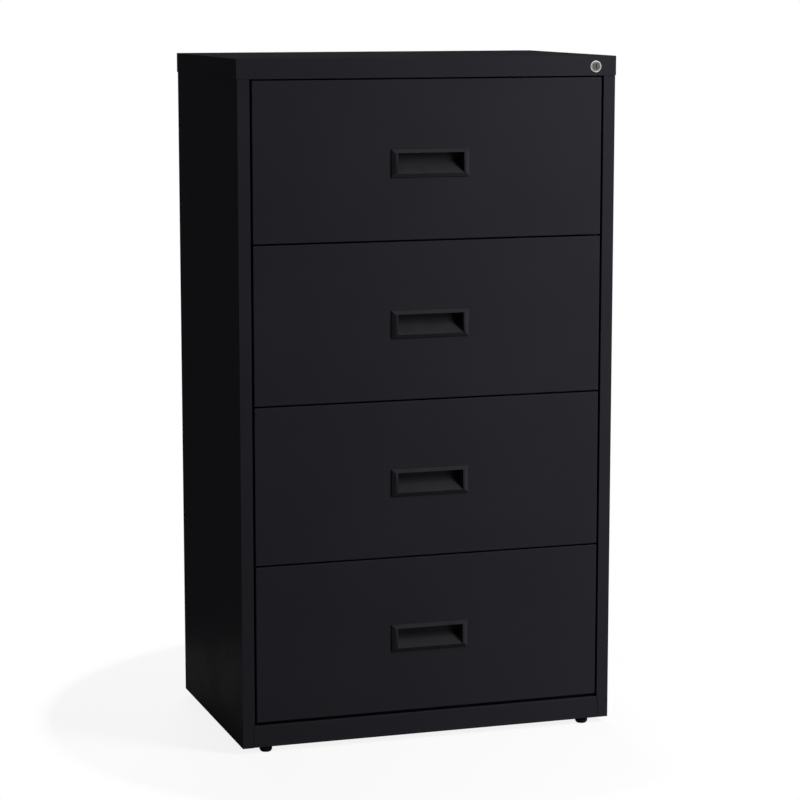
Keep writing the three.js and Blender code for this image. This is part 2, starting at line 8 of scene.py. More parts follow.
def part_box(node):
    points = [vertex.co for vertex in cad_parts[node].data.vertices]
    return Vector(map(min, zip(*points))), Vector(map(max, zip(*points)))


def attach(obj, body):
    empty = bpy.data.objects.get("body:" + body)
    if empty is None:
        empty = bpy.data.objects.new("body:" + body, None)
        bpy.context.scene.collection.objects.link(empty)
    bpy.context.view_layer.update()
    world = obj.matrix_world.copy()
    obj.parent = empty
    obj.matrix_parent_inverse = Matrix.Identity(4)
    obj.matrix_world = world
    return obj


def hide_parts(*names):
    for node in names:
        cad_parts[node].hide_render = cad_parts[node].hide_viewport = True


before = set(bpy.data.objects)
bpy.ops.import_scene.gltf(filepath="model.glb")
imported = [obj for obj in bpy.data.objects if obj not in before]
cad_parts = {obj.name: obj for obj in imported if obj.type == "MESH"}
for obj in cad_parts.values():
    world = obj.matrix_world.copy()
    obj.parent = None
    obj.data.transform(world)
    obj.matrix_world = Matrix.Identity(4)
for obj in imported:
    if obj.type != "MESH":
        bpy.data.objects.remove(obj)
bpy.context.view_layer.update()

# Side panels: each is one sheet of cold-rolled steel, folded to a boxed post at the front and to a flange
# at the back. They are powder-coated a satin near-black, which lies a little rounder over every cut edge.
MM = 0.001
SHEET = 1.0 * MM
BEND = 0.8 * MM
CUT_ROUND = 0.2 * MM
FOLD_MIN_LENGTH = 9 * MM
SHARP = math.radians(40)
FLAT = math.radians(1)
WELD_DISTANCE = 0.005 * MM
FOLD_SEGMENTS = 4
CUT_SEGMENTS = 2
NOISE_LOW = 0.3
NOISE_HIGH = 0.7
PAINT_DARK = (0.0150, 0.0150, 0.0184, 1)
PAINT_LIGHT = (0.0164, 0.0164, 0.0202, 1)


def merged_copy(node):
    """The node's own shape, with its loose triangles joined into whole flat faces."""
    shape = bmesh.new()
    shape.from_mesh(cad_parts[node].data)
    bmesh.ops.remove_doubles(shape, verts=shape.verts, dist=WELD_DISTANCE)
    bmesh.ops.dissolve_limit(shape, angle_limit=FLAT, verts=shape.verts, edges=shape.edges)
    return shape


def round_edges(shape, wanted, radius, segments=3):
    """Rounds the sharp edges that are wanted."""
    edges = [edge for edge in shape.edges if edge.calc_face_angle(0) > SHARP and wanted(edge)]
    bmesh.ops.bevel(
        shape, geom=edges, offset=radius, affect="EDGES", segments=segments, profile=0.5, material=-1,
        clamp_overlap=True,
    )


def round_folds(shape, sheet=SHEET, bend=BEND, outer=None):
    """Rounds a folded sheet: its folds inside by the bend and outside by as much more as the sheet is thick,
    or by the outer radius given, and then its cut edges, which are those of narrow faces."""

    def is_cut(edge):
        return any(2 * face.calc_area() / face.calc_perimeter() < 1.5 * sheet for face in edge.link_faces)

    def is_fold(edge):
        return edge.calc_length() > FOLD_MIN_LENGTH and not is_cut(edge)

    round_edges(shape, lambda edge: is_fold(edge) and edge.is_convex, outer or bend + sheet, FOLD_SEGMENTS)
    round_edges(shape, lambda edge: is_fold(edge) and not edge.is_convex, bend)
    round_edges(shape, is_cut, CUT_ROUND, CUT_SEGMENTS)


def show(name, shape, body, slot, finish, *nodes):
    """Makes a shape a finished piece that rides on its body and stands for its nodes, if it has any."""
    bmesh.ops.remove_doubles(shape, verts=shape.verts, dist=WELD_DISTANCE)
    bmesh.ops.dissolve_degenerate(shape, dist=WELD_DISTANCE / 5, edges=shape.edges)
    for face in shape.faces:
        face.smooth = True
    for edge in shape.edges:
        edge.smooth = edge.calc_face_angle(0) < SHARP
    mesh = bpy.data.meshes.new(name)
    shape.to_mesh(mesh)
    shape.free()
    mesh.materials.append(finish)
    piece = bpy.data.objects.new(name, mesh)
    bpy.context.scene.collection.objects.link(piece)
    even = piece.modifiers.new("Even shading", "WEIGHTED_NORMAL")
    even.keep_sharp = True
    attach(piece, body)
    if nodes:
        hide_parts(*nodes)
    return piece


def new_finish(name, metal, roughness, specular):
    """A material and its shader, with what is the same all over the surface."""
    finish = bpy.data.materials.new(name)
    finish.use_nodes = True
    shader = finish.node_tree.nodes["Principled BSDF"]
    shader.inputs["Metallic"].default_value = metal
    shader.inputs["Roughness"].default_value = roughness
    shader.inputs["Specular IOR Level"].default_value = specular
    return finish, shader


def add_noise(finish, size, stretch=(1, 1, 1), detail=2):
    """A noise whose blotches have about this size in metres, drawn out along an axis by stretch."""
    tree = finish.node_tree
    coords = tree.nodes.new("ShaderNodeTexCoord")
    mapping = tree.nodes.new("ShaderNodeMapping")
    mapping.inputs["Scale"].default_value = [1 / (size * s) for s in stretch]
    noise = tree.nodes.new("ShaderNodeTexNoise")
    noise.inputs["Scale"].default_value = 1
    noise.inputs["Detail"].default_value = detail
    tree.links.new(coords.outputs["Object"], mapping.inputs["Vector"])
    tree.links.new(mapping.outputs["Vector"], noise.inputs["Vector"])
    return noise.outputs["Fac"]


def vary(finish, noise, socket, low, high):
    """Lets a number of the shader go from low to high with a noise."""
    spread = finish.node_tree.nodes.new("ShaderNodeMapRange")
    spread.inputs["From Min"].default_value = NOISE_LOW
    spread.inputs["From Max"].default_value = NOISE_HIGH
    spread.inputs["To Min"].default_value = low
    spread.inputs["To Max"].default_value = high
    finish.node_tree.links.new(noise, spread.inputs["Value"])
    finish.node_tree.links.new(spread.outputs["Result"], socket)


def vary_colour(finish, noise, socket, dark, light):
    """Lets the colour go from dark to light with a noise."""
    ramp = finish.node_tree.nodes.new("ShaderNodeValToRGB")
    ramp.color_ramp.elements[0].position = NOISE_LOW
    ramp.color_ramp.elements[0].color = dark
    ramp.color_ramp.elements[1].position = NOISE_HIGH
    ramp.color_ramp.elements[1].color = light
    finish.node_tree.links.new(noise, ramp.inputs["Fac"])
    finish.node_tree.links.new(ramp.outputs["Color"], socket)


def add_bump(finish, shader, noise, depth, strength):
    """Raises the surface by a noise, up to this depth."""
    bump = finish.node_tree.nodes.new("ShaderNodeBump")
    bump.inputs["Strength"].default_value = strength
    bump.inputs["Distance"].default_value = depth
    finish.node_tree.links.new(noise, bump.inputs["Height"])
    finish.node_tree.links.new(bump.outputs["Normal"], shader.inputs["Normal"])


def satin_powder_coat():
    finish, shader = new_finish("satin_powder_coat", metal=0, roughness=0.5, specular=0.05)
    cloud = add_noise(finish, size=220 * MM, detail=3)
    vary_colour(finish, cloud, shader.inputs["Base Color"], PAINT_DARK, PAINT_LIGHT)
    handling = add_noise(finish, size=70 * MM, detail=4)
    vary(finish, handling, shader.inputs["Roughness"], low=0.46, high=0.54)
    orange_peel = add_noise(finish, size=1.6 * MM, detail=1)
    add_bump(finish, shader, orange_peel, depth=0.03 * MM, strength=0.3)
    return finish


paint = satin_powder_coat()
for side in ("left", "right"):
    node = f"{side}_side_panel"
    panel = merged_copy(node)
    round_folds(panel)
    show(f"{node}_sheet", panel, "case", "black_paint", paint, node)

# Base rails and bottom panel: folded channels that close the case at the foot, with a flat sheet laid on
# them. All are the same coated steel, welded to the side panels.
for node in ("front_base_rail", "rear_base_rail", "bottom_panel"):
    rail = merged_copy(node)
    round_folds(rail)
    show(f"{node}_sheet", rail, "case", "black_paint", paint, node)

# Corner plates: small coated plates inside both ends of each post, where the front rail and the cap meet it.
# They are welded on and close the seams.
PLATE_REACH = 9 * MM
PLATE_CLEAR = 0.15 * MM
POST_DEPTH = 17 * MM
CAP_SEAM = 0.6 * MM


def rounded_bar(low, high, radius, segments=CUT_SEGMENTS):
    """A bar between two corners, with rounded edges."""
    low, high = Vector(low), Vector(high)
    shape = bmesh.new()
    bmesh.ops.create_cube(shape, size=1)
    bmesh.ops.scale(shape, vec=high - low, verts=shape.verts)
    bmesh.ops.translate(shape, vec=(low + high) / 2, verts=shape.verts)
    round_edges(shape, lambda edge: True, radius, segments)
    return shape


rail_low, rail_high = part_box("front_base_rail")
seam_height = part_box("top_cap")[0].z
plate_front = rail_low.y + SHEET + PLATE_CLEAR
for side, rail_end in (("left", rail_low.x), ("right", rail_high.x)):
    foot_plate = rounded_bar(
        (rail_end - PLATE_REACH, plate_front, rail_low.z + PLATE_CLEAR),
        (rail_end + PLATE_REACH, plate_front + SHEET, rail_high.z - SHEET - PLATE_CLEAR),
        CUT_ROUND,
    )
    show(f"{side}_foot_plate", foot_plate, "case", "black_paint", paint)
    panel_low, panel_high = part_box(f"{side}_side_panel")
    cap_plate = rounded_bar(
        (panel_low.x + SHEET + PLATE_CLEAR, plate_front, seam_height - PLATE_REACH),
        (panel_high.x - SHEET - PLATE_CLEAR, plate_front + SHEET, seam_height + PLATE_REACH),
        CUT_ROUND,
    )
    show(f"{side}_cap_plate", cap_plate, "case", "black_paint", paint)
    outer = panel_low.x if side == "left" else panel_high.x - SHEET
    edge_plate = rounded_bar(
        (outer, plate_front, seam_height - CAP_SEAM),
        (outer + SHEET, rail_low.y + POST_DEPTH, seam_height + PLATE_REACH),
        CUT_ROUND,
    )
    show(f"{side}_edge_plate", edge_plate, "case", "black_paint", paint)

# Counterweight: a flame-cut steel plate on the bottom panel, so that an open drawer doesn't tip the case.
# It is left as rolled, with grey mill scale, and its edges are only broken.
SCALE_DARK = (0.055, 0.057, 0.062, 1)
SCALE_LIGHT = (0.11, 0.108, 0.106, 1)
WEIGHT_ROUND = 1.0 * MM


def mill_scale():
    finish, shader = new_finish("mill_scale", metal=0.7, roughness=0.6, specular=0.5)
    blotches = add_noise(finish, size=35 * MM, detail=6)
    vary_colour(finish, blotches, shader.inputs["Base Color"], SCALE_DARK, SCALE_LIGHT)
    flakes = add_noise(finish, size=8 * MM, detail=5)
    vary(finish, flakes, shader.inputs["Roughness"], low=0.45, high=0.75)
    add_bump(finish, shader, flakes, depth=0.2 * MM, strength=0.5)
    return finish


weight = merged_copy("counterweight")
round_edges(weight, lambda edge: True, WEIGHT_ROUND)
show("counterweight_plate", weight, "case", "raw_steel", mill_scale(), "counterweight")

# Back panel: a flat coated sheet, spot-welded to the rear flanges of the side panels.
# Each weld leaves a shallow round dish, given as steps inwards and deeper, which the coat softens.
WELD_RADIUS = 4.2 * MM
WELD_DISH = ((0.4, 0.05), (0.7, 0.17), (0.7, 0.17), (0.4, 0.05))
WELD_FROM_SIDE = 12 * MM
WELD_END = 40 * MM
WELDS = 10
ROUND_STEPS = 20
SAME_WAY = 0.99
CELL_REACH = 1.4


def round_face(shape, spot, normal, radius):
    """Cuts a square cell around a spot out of the flat face that it lies on, and a round face out of the cell,
    and returns the round one."""
    spot, normal = Vector(spot), Vector(normal)
    turn = Vector((0, 0, 1)).rotation_difference(normal).to_matrix().to_4x4()

    def is_flat(face):
        level = (face.verts[0].co - spot).dot(normal)
        return face.normal.dot(normal) > SAME_WAY and abs(level) < CUT_ROUND / 4

    for across in (turn.col[0].to_3d(), turn.col[1].to_3d()):
        for step in (-CELL_REACH * radius, CELL_REACH * radius):
            cut = set()
            for face in filter(is_flat, shape.faces):
                cut.update((face, *face.edges, *face.verts))
            bmesh.ops.bisect_plane(
                shape, geom=list(cut), plane_co=spot + across * step, plane_no=across, dist=WELD_DISTANCE,
            )
    cell = min(filter(is_flat, shape.faces), key=lambda face: (face.calc_center_median() - spot).length)
    rim = list(cell.edges)
    bmesh.ops.delete(shape, geom=[cell], context="FACES_ONLY")
    ring = bmesh.ops.create_circle(
        shape, cap_ends=True, segments=ROUND_STEPS, radius=radius, matrix=Matrix.Translation(spot) @ turn,
    )
    disc = ring["verts"][0].link_faces[0]
    bmesh.ops.bridge_loops(shape, edges=rim + list(disc.edges))
    return disc


back = merged_copy("back_panel")
round_folds(back)
back_low, back_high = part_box("back_panel")
for x in (back_low.x + WELD_FROM_SIDE, back_high.x - WELD_FROM_SIDE):
    for number in range(WELDS):
        z = back_low.z + WELD_END + number * (back_high.z - back_low.z - 2 * WELD_END) / (WELDS - 1)
        weld = round_face(back, (x, back_high.y, z), (0, 1, 0), WELD_RADIUS)
        for inward, deeper in WELD_DISH:
            bmesh.ops.inset_individual(back, faces=[weld], thickness=inward * MM, depth=-deeper * MM)
bmesh.ops.recalc_face_normals(back, faces=back.faces)
show("back_panel_sheet", back, "case", "black_paint", paint, "back_panel")

# Uprights: four channels of zinc-plated steel, welded inside the side panels, two in front and two at the
# back. The outer members of the slides hang on them.
ZINC_DARK = (0.36, 0.375, 0.39, 1)
ZINC_LIGHT = (0.55, 0.565, 0.58, 1)
UPRIGHT_SHEET = 1.2 * MM


def bright_zinc():
    finish, shader = new_finish("bright_zinc", metal=1, roughness=0.35, specular=0.5)
    spangle = add_noise(finish, size=14 * MM, detail=5)
    vary_colour(finish, spangle, shader.inputs["Base Color"], ZINC_DARK, ZINC_LIGHT)
    drawn = add_noise(finish, size=0.7 * MM, stretch=(1, 60, 1), detail=3)
    vary(finish, drawn, shader.inputs["Roughness"], low=0.26, high=0.44)
    add_bump(finish, shader, drawn, depth=0.02 * MM, strength=0.3)
    return finish


zinc = bright_zinc()
for side in ("left", "right"):
    for end in ("front", "rear"):
        node = f"{side}_{end}_upright"
        upright = merged_copy(node)
        round_folds(upright, UPRIGHT_SHEET)
        show(f"{node}_channel", upright, "case", "zinc_steel", zinc, node)

# Glides: a moulded nylon foot on a threaded steel stem, screwed up into the base rail to level the case.
# The foot tapers to the floor and has a shallow collar where a spanner grips it.
NYLON_DARK = (0.0060, 0.0060, 0.0064, 1)
NYLON_LIGHT = (0.0090, 0.0090, 0.0096, 1)
GLIDE_STEPS = 48
FOOT_TOP = 11.7 * MM
STEM_TOP = 41.7 * MM
STEM_RADIUS = 4.0 * MM
THREAD_PITCH = 1.25 * MM
THREAD_DEPTH = 0.6 * MM
FOOT_OUTLINE = (
    (0, 0), (9.2, 0), (9.9, 0.5), (12.0, 3.3), (12.4, 4.3), (12.4, 8.6), (11.9, 9.4),
    (8.6, 9.8), (8.0, 10.4), (8.0, 11.4), (7.6, 11.7), (3.0, 11.7), (3.0, 10.5), (0, 10.5),
)


def matt_nylon():
    finish, shader = new_finish("matt_nylon", metal=0, roughness=0.6, specular=0.08)
    grain = add_noise(finish, size=0.8 * MM, detail=2)
    flow = add_noise(finish, size=9 * MM)
    vary_colour(finish, flow, shader.inputs["Base Color"], NYLON_DARK, NYLON_LIGHT)
    vary(finish, grain, shader.inputs["Roughness"], low=0.52, high=0.68)
    add_bump(finish, shader, grain, depth=0.06 * MM, strength=0.5)
    return finish


def turned(outline, centre, axis, steps):
    """A round piece: an outline of radius and height spun about an axis through a centre."""
    shape = bmesh.new()
    verts = [shape.verts.new((radius, 0, height)) for radius, height in outline]
    edges = [shape.edges.new(pair) for pair in zip(verts, verts[1:])]
    bmesh.ops.spin(
        shape, geom=verts + edges, cent=(0, 0, 0), axis=(0, 0, 1), angle=math.tau, steps=steps,
        use_merge=True,
    )
    bmesh.ops.remove_doubles(shape, verts=shape.verts, dist=WELD_DISTANCE)
    bmesh.ops.recalc_face_normals(shape, faces=shape.faces)
    turn = Vector((0, 0, 1)).rotation_difference(Vector(axis)).to_matrix()
    bmesh.ops.rotate(shape, cent=(0, 0, 0), matrix=turn, verts=shape.verts)
    bmesh.ops.translate(shape, vec=centre, verts=shape.verts)
    return shape


nylon = matt_nylon()
root_radius = STEM_RADIUS - THREAD_DEPTH
stem_outline = [(0, FOOT_TOP - THREAD_PITCH), (root_radius - THREAD_DEPTH, FOOT_TOP - THREAD_PITCH)]
turns = round((STEM_TOP - FOOT_TOP) / THREAD_PITCH)
for number in range(turns):
    height = FOOT_TOP + number * THREAD_PITCH
    stem_outline.append((root_radius, height))
    stem_outline.append((STEM_RADIUS, height + THREAD_PITCH / 2))
stem_outline.append((root_radius - THREAD_DEPTH, STEM_TOP))
stem_outline.append((0, STEM_TOP))
for place in ("front_left", "front_right", "rear_left", "rear_right"):
    node = f"{place}_glide"
    low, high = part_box(node)
    under = ((low.x + high.x) / 2, (low.y + high.y) / 2, low.z)
    foot = turned([(r * MM, h * MM) for r, h in FOOT_OUTLINE], under, (0, 0, 1), GLIDE_STEPS)
    show(f"{node}_foot", foot, node, "black_nylon", nylon, node)
    stem = turned(stem_outline, under, (0, 0, 1), GLIDE_STEPS // 2)
    show(f"{node}_stem", stem, node, "zinc_steel", zinc)

# Top cap: a lid of coated steel, folded down on all four sides and set over the side panels. Its folds are
# tighter, since its rear flange is narrow. A return stiffens the apron, and the lock sits at its right end.
CAP_ROUND = 0.9 * MM
cap = merged_copy("top_cap")
round_folds(cap, outer=CAP_ROUND)
show("top_cap_sheet", cap, "case", "black_paint", paint, "top_cap")

# Lock: a nickel-plated barrel through the apron and a plug with a keyway. Behind it, a zinc-plated cam
# moves the lock bar, a strip with a finger for each drawer.
RING_DARK = (0.86, 0.86, 0.84, 1)
RING_LIGHT = (0.95, 0.95, 0.93, 1)
PLUG_DARK = (0.62, 0.62, 0.61, 1)
PLUG_LIGHT = (0.76, 0.76, 0.75, 1)
PLUG_FACET = 1.75 * MM
PLUG_ROUND = 0.3 * MM
CAM_ROUND = 0.2 * MM
BAR_ROUND = 0.3 * MM
BARREL_STEPS = 64
BARREL_OUTLINE = (
    (6.8, 1.3), (7.0, 1.1), (8.0, 1.0), (8.3, 0.75), (8.5, 0.3), (8.75, 0.06), (9.05, 0.0), (9.45, 0.12),
    (10.2, 0.6), (10.85, 1.15), (11.25, 1.6), (11.25, 1.7), (9.3, 1.7), (9.3, 24.0), (6.8, 24.0),
    (6.8, 1.3),
)


def nickel_plate(name, dark, light, smooth, rough):
    finish, shader = new_finish(name, metal=1, roughness=rough, specular=0.5)
    mottle = add_noise(finish, size=3 * MM, detail=4)
    vary_colour(finish, mottle, shader.inputs["Base Color"], dark, light)
    grain = add_noise(finish, size=0.6 * MM, detail=3)
    vary(finish, grain, shader.inputs["Roughness"], low=smooth, high=rough)
    return finish


ring_nickel = nickel_plate("bright_nickel", RING_DARK, RING_LIGHT, 0.16, 0.24)
plug_nickel = nickel_plate("dull_nickel", PLUG_DARK, PLUG_LIGHT, 0.38, 0.46)
low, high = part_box("lock_barrel")
barrel_face = ((low.x + high.x) / 2, low.y, (low.z + high.z) / 2)
barrel = turned([(r * MM, h * MM) for r, h in BARREL_OUTLINE], barrel_face, (0, 1, 0), BARREL_STEPS)
show("lock_barrel_turned", barrel, "case", "nickel", ring_nickel, "lock_barrel")
plug = merged_copy("lock_plug")
round_edges(plug, lambda edge: edge.is_convex and edge.calc_length() < PLUG_FACET, PLUG_ROUND)
show("lock_plug_turned", plug, "lock_plug", "nickel", plug_nickel, "lock_plug")
cam = merged_copy("lock_cam")
round_edges(cam, lambda edge: True, CAM_ROUND)
show("lock_cam_plate", cam, "lock_plug", "zinc_steel", zinc, "lock_cam")
bar = merged_copy("lock_bar")
round_edges(bar, lambda edge: True, BAR_ROUND)
show("lock_bar_strip", bar, "lock_bar", "zinc_steel", zinc, "lock_bar")

# Slides: three roll-formed members of zinc-plated steel on each side of each drawer, one inside the other.
# The middle one is pierced. The inner one is riveted to the tray and holds a nylon lever, which frees the
# drawer.
SLIDE_SHEET = 1.2 * MM
SLIDE_BEND = 0.5 * MM
DRAWERS = (1, 2, 3, 4)
HOLE_RADIUS = 4.5 * MM
HOLES = 6
FIRST_HOLE = 40 * MM
HOLE_STEP = 68 * MM
RIVET_OUTLINE = ((0, 0), (4.0, 0), (4.0, 0.3), (3.5, 0.9), (2.4, 1.3), (0, 1.5))
RIVET_STEPS = 24
RIVETS = 5
FIRST_RIVET = 26 * MM
RIVET_STEP = 92 * MM
LEVER_OUTLINE = (
    (0, -2.6), (50, -2.6), (55, -5.6), (68, -5.6), (70, -3.6), (70, 3.6), (68, 5.6), (55, 5.6),
    (50, 2.6), (0, 2.6),
)
LEVER_START = 132 * MM
LEVER_THICKNESS = 2.6 * MM
LEVER_CLEAR = 0.2 * MM
LEVER_ROUND = 0.5 * MM
LEVER_CORNER = math.radians(60)


def pierce(shape, near, far, across, radius):
    """Makes a round hole through a sheet, between its two faces."""
    discs = [round_face(shape, near, across, radius), round_face(shape, far, -across, radius)]
    rims = [edge for disc in discs for edge in disc.edges]
    bmesh.ops.delete(shape, geom=discs, context="FACES_ONLY")
    bmesh.ops.bridge_loops(shape, edges=rims)


def repeat(shape, step, count):
    """Sets more of the same shape in a row."""
    first = shape.verts[:] + shape.edges[:] + shape.faces[:]
    for number in range(1, count):
        copy = bmesh.ops.duplicate(shape, geom=first)["geom"]
        verts = [part for part in copy if isinstance(part, bmesh.types.BMVert)]
        bmesh.ops.translate(shape, vec=Vector(step) * number, verts=verts)


for drawer in DRAWERS:
    for side, outward in (("left", Vector((-1, 0, 0))), ("right", Vector((1, 0, 0)))):
        name = f"drawer_{drawer}_{side}_slide"
        outer = merged_copy(f"{name}_outer")
        round_folds(outer, SLIDE_SHEET, SLIDE_BEND)
        show(f"{name}_outer_channel", outer, "case", "zinc_steel", zinc, f"{name}_outer")

        low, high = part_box(f"{name}_middle")
        middle = merged_copy(f"{name}_middle")
        round_folds(middle, SLIDE_SHEET, SLIDE_BEND)
        web = Vector((low.x if side == "left" else high.x, low.y + FIRST_HOLE, (low.z + high.z) / 2))
        for number in range(HOLES):
            spot = web + Vector((0, number * HOLE_STEP, 0))
            pierce(middle, spot, spot - outward * SLIDE_SHEET, outward, HOLE_RADIUS)
        bmesh.ops.recalc_face_normals(middle, faces=middle.faces)
        members = f"drawer_{drawer}_middle_members"
        show(f"{name}_middle_channel", middle, members, "zinc_steel", zinc, f"{name}_middle")

        low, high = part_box(f"{name}_inner")
        inner = merged_copy(f"{name}_inner")
        round_folds(inner, SLIDE_SHEET, SLIDE_BEND)
        show(f"{name}_inner_channel", inner, f"drawer_{drawer}", "zinc_steel", zinc, f"{name}_inner")
        inside = Vector((high.x if side == "left" else low.x, low.y, (low.z + high.z) / 2))
        crown = inside + outward * SLIDE_SHEET
        rivet_outline = [(r * MM, h * MM) for r, h in RIVET_OUTLINE]
        rivets = turned(rivet_outline, crown + Vector((0, FIRST_RIVET, 0)), outward, RIVET_STEPS)
        repeat(rivets, (0, RIVET_STEP, 0), RIVETS)
        show(f"{name}_rivets", rivets, f"drawer_{drawer}", "zinc_steel", zinc)

        lever = bmesh.new()
        corner = crown + outward * LEVER_CLEAR + Vector((0, LEVER_START, 0))
        outline = [lever.verts.new(corner + Vector((0, y * MM, z * MM))) for y, z in LEVER_OUTLINE]
        paddle = bmesh.ops.extrude_face_region(lever, geom=[lever.faces.new(outline)])["geom"]
        raised = [part for part in paddle if isinstance(part, bmesh.types.BMVert)]
        bmesh.ops.translate(lever, vec=outward * LEVER_THICKNESS, verts=raised)
        bmesh.ops.recalc_face_normals(lever, faces=lever.faces)
        round_edges(lever, lambda edge: edge.calc_face_angle(0) > LEVER_CORNER, LEVER_ROUND)
        show(f"{name}_lever", lever, f"drawer_{drawer}", "black_nylon", nylon)

# Trays and hang rails: each tray is an open box of coated steel whose higher front wall carries folders,
# and a zinc-plated bar lies across it as the other edge for them. The side walls end in a folded hem.
TRAY_TOP = 252 * MM
HEM_HEIGHT = 7 * MM
HEM_THICKNESS = 1.5 * MM
HEM_FROM_FRONT = 14 * MM
HEM_FROM_BACK = 2 * MM
HEM_ROUND = 0.6 * MM
TRAY_HALF_WIDTH = 337.3 * MM
HANG_RAIL_ROUND = 0.5 * MM
for drawer in DRAWERS:
    node = f"drawer_{drawer}_tray"
    tray = merged_copy(node)
    round_folds(tray)
    show(f"{node}_sheet", tray, f"drawer_{drawer}", "black_paint", paint, node)
    tray_low, tray_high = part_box(node)
    hem_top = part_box(f"drawer_{drawer}_front")[0].z + TRAY_TOP
    for side, inner in (("left", -TRAY_HALF_WIDTH - HEM_THICKNESS), ("right", TRAY_HALF_WIDTH)):
        hem = rounded_bar(
            (inner, tray_low.y + HEM_FROM_FRONT, hem_top - HEM_HEIGHT),
            (inner + HEM_THICKNESS, tray_high.y - HEM_FROM_BACK, hem_top),
            HEM_ROUND,
            FOLD_SEGMENTS,
        )
        show(f"drawer_{drawer}_{side}_hem", hem, f"drawer_{drawer}", "black_paint", paint)
    node = f"drawer_{drawer}_hang_rail"
    rail = merged_copy(node)
    round_edges(rail, lambda edge: True, HANG_RAIL_ROUND)
    show(f"{node}_bar", rail, f"drawer_{drawer}", "zinc_steel", zinc, node)

# Drawer fronts: shallow pans of coated steel, folded on all sides and welded to the trays.
# Each has a cutout for its pull, a little below the middle.
for drawer in DRAWERS:
    node = f"drawer_{drawer}_front"
    front = merged_copy(node)
    round_folds(front)
    show(f"{node}_pan", front, f"drawer_{drawer}", "black_paint", paint, node)

# Pulls: one moulding of black plastic each, a bevelled frame on the drawer face with a cup behind it,
# snapped into the cutout of the drawer front. The cup's slanted floor runs up into its back in a curve.
PLASTIC_DARK = (0.0146, 0.0146, 0.0167, 1)
PLASTIC_LIGHT = (0.0176, 0.0176, 0.0200, 1)
CUP_MIN_LENGTH = 100 * MM
CUP_CURVE = 7 * MM
CUP_SEGMENTS = 8
CUP_SLANT = math.radians(60)
FRAME_DEPTH = 7.3 * MM
CORNER_ACROSS = 67.6 * MM
CORNER_UP = 16.0 * MM
FRAME_ROUND = 0.4 * MM


def moulded_plastic():
    finish, shader = new_finish("moulded_plastic", metal=0, roughness=0.48, specular=0.09)
    flow = add_noise(finish, size=30 * MM, detail=3)
    vary_colour(finish, flow, shader.inputs["Base Color"], PLASTIC_DARK, PLASTIC_LIGHT)
    spark = add_noise(finish, size=0.5 * MM, detail=2)
    vary(finish, spark, shader.inputs["Roughness"], low=0.42, high=0.54)
    add_bump(finish, shader, spark, depth=0.03 * MM, strength=0.4)
    return finish


def is_cup_crease(edge):
    """The edge between the slanted floor of the cup and its upright back."""
    return (
        not edge.is_convex
        and edge.calc_length() > CUP_MIN_LENGTH
        and edge.calc_face_angle(0) < CUP_SLANT
    )


def square_corners(shape, low, high):
    """Draws the round corners of the frame out to sharp ones, at each depth of its bevel."""
    middle = (low + high) / 2
    corners = {}
    for vert in shape.verts:
        across, up = vert.co.x - middle.x, vert.co.z - middle.z
        in_frame = all(edge.other_vert(vert).co.y < low.y + FRAME_DEPTH for edge in vert.link_edges)
        if in_frame and abs(across) > CORNER_ACROSS and abs(up) > CORNER_UP:
            corners.setdefault((round(vert.co.y / CUT_ROUND), across > 0, up > 0), []).append(vert)
    for (_, right, upper), verts in corners.items():
        x = (max if right else min)(vert.co.x for vert in verts)
        z = (max if upper else min)(vert.co.z for vert in verts)
        for vert in verts:
            from_side, from_end = abs(vert.co.x - x), abs(vert.co.z - z)
            if from_side < from_end + CUT_ROUND:
                vert.co.x = x
            if from_end < from_side + CUT_ROUND:
                vert.co.z = z
    shape.normal_update()
    bmesh.ops.dissolve_limit(shape, angle_limit=FLAT, verts=shape.verts, edges=shape.edges)


plastic = moulded_plastic()
for drawer in DRAWERS:
    node = f"drawer_{drawer}_pull"
    pull = merged_copy(node)
    square_corners(pull, *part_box(node))
    round_edges(pull, is_cup_crease, CUP_CURVE, CUP_SEGMENTS)
    round_edges(pull, lambda edge: True, FRAME_ROUND)
    show(f"{node}_moulding", pull, f"drawer_{drawer}", "black_plastic", plastic, node)

# Floor: a plain pale round floor under the case, which fades out to the white background. The camera sees
# it nearly white, so that the shadow stays light, and it throws or mirrors little light back at the case.
FLOOR_RADIUS = 0.75
FLOOR_STEPS = 96
FLOOR_SEEN = 0.85
FLOOR_BOUNCE = 0.25
FLOOR_MIRRORED = 0.2
NEAR_WHITE = 0.87
FADE_START = 0.5
floor_shape = bmesh.new()
bmesh.ops.create_circle(floor_shape, cap_ends=True, segments=FLOOR_STEPS, radius=FLOOR_RADIUS)
floor_mesh = bpy.data.meshes.new("floor")
floor_shape.to_mesh(floor_mesh)
floor_shape.free()
floor = bpy.data.objects.new("floor", floor_mesh)
bpy.context.scene.collection.objects.link(floor)

floor_finish = bpy.data.materials.new("pale_floor")
floor_finish.use_nodes = True
tree = floor_finish.node_tree
tree.nodes.remove(tree.nodes["Principled BSDF"])


def add_math(tree, operation, first, second):
    """Works out two numbers in a node tree, each a socket or a plain number."""
    node = tree.nodes.new("ShaderNodeMath")
    node.operation = operation
    for number, socket in zip((first, second), node.inputs):
        if isinstance(number, bpy.types.NodeSocket):
            tree.links.new(number, socket)
        else:
            socket.default_value = number
    return node.outputs["Value"]


